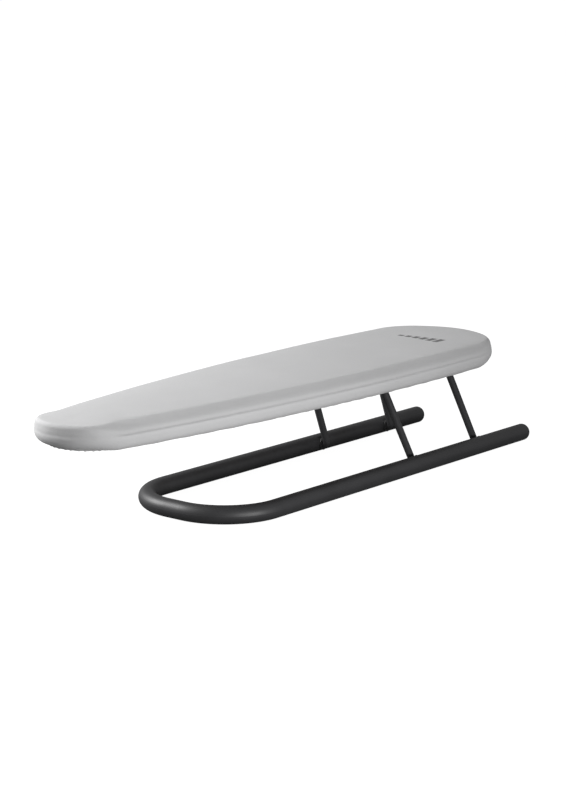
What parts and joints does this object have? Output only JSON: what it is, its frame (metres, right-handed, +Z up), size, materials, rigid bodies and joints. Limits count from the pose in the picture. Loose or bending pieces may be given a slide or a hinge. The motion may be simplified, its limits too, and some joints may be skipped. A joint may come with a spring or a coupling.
{
  "type": "tabletop sleeve ironing board",
  "caption": "Narrow padded tabletop ironing board for sleeves, on two wire bails that fold down into a U-shaped base of round tube.",
  "frame": {"origin": "on the table, under the middle of the standing object's bounding box", "axes": "+X from the board's nose to its heel, +Y to the object's left when looking from nose to heel, +Z up"},
  "size_m": [0.6478, 0.169, 0.1185],
  "materials": {
    "black_tube": "satin powder coat",
    "black_wire": "satin powder coat",
    "black_plastic": "fine texture",
    "black_nylon": "satin",
    "fibreboard": "raw",
    "felt": "needled",
    "foam": "open cell",
    "grey_cloth": "tight plain weave",
    "hem_tape": "twill tape",
    "elastic": "braided",
    "zinc_plate": "zinc plated",
    "screw_steel": "zinc plated"
  },
  "bodies": {
    "base": {"base_tube": "black_tube", "left_end_cap": "black_plastic", "right_end_cap": "black_plastic", "front_left_bush": "black_nylon", "front_right_bush": "black_nylon", "rear_left_bush": "black_nylon", "rear_right_bush": "black_nylon"},
    "front_bail": {"front_bail": "black_wire"},
    "rear_bail": {"rear_bail": "black_wire"},
    "board": {"board_core": "fibreboard", "felt_underlay": "felt", "foam_pad": "foam", "cover": "grey_cloth", "hem_binding": "hem_tape", "hem_elastic": "elastic", "front_left_saddle": "zinc_plate", "front_right_saddle": "zinc_plate", "rear_left_saddle": "zinc_plate", "rear_right_saddle": "zinc_plate", "front_left_saddle_screws": "screw_steel", "front_right_saddle_screws": "screw_steel", "rear_left_saddle_screws": "screw_steel", "rear_right_saddle_screws": "screw_steel"}
  },
  "joints": [
    {"name": "fold", "type": "hinge", "parent": "base", "child": "front_bail", "pos_m": [0.13585, 0, 0.009], "axis": [0, 1, 0], "range_deg": [0, 110]},
    {"name": "rear_fold", "type": "hinge", "parent": "base", "child": "rear_bail", "pos_m": [0.24885, 0, 0.009], "axis": [0, 1, 0], "range_deg": [0, 110]},
    {"name": "board_hinge", "type": "hinge", "parent": "front_bail", "child": "board", "pos_m": [0.09345, 0, 0.0933], "axis": [0, 1, 0], "range_deg": [-110, 0]}
  ],
  "couplings": [
    {"joint": "rear_fold", "follows": "fold", "ratio": 1},
    {"joint": "board_hinge", "follows": "fold", "ratio": -1}
  ]
}
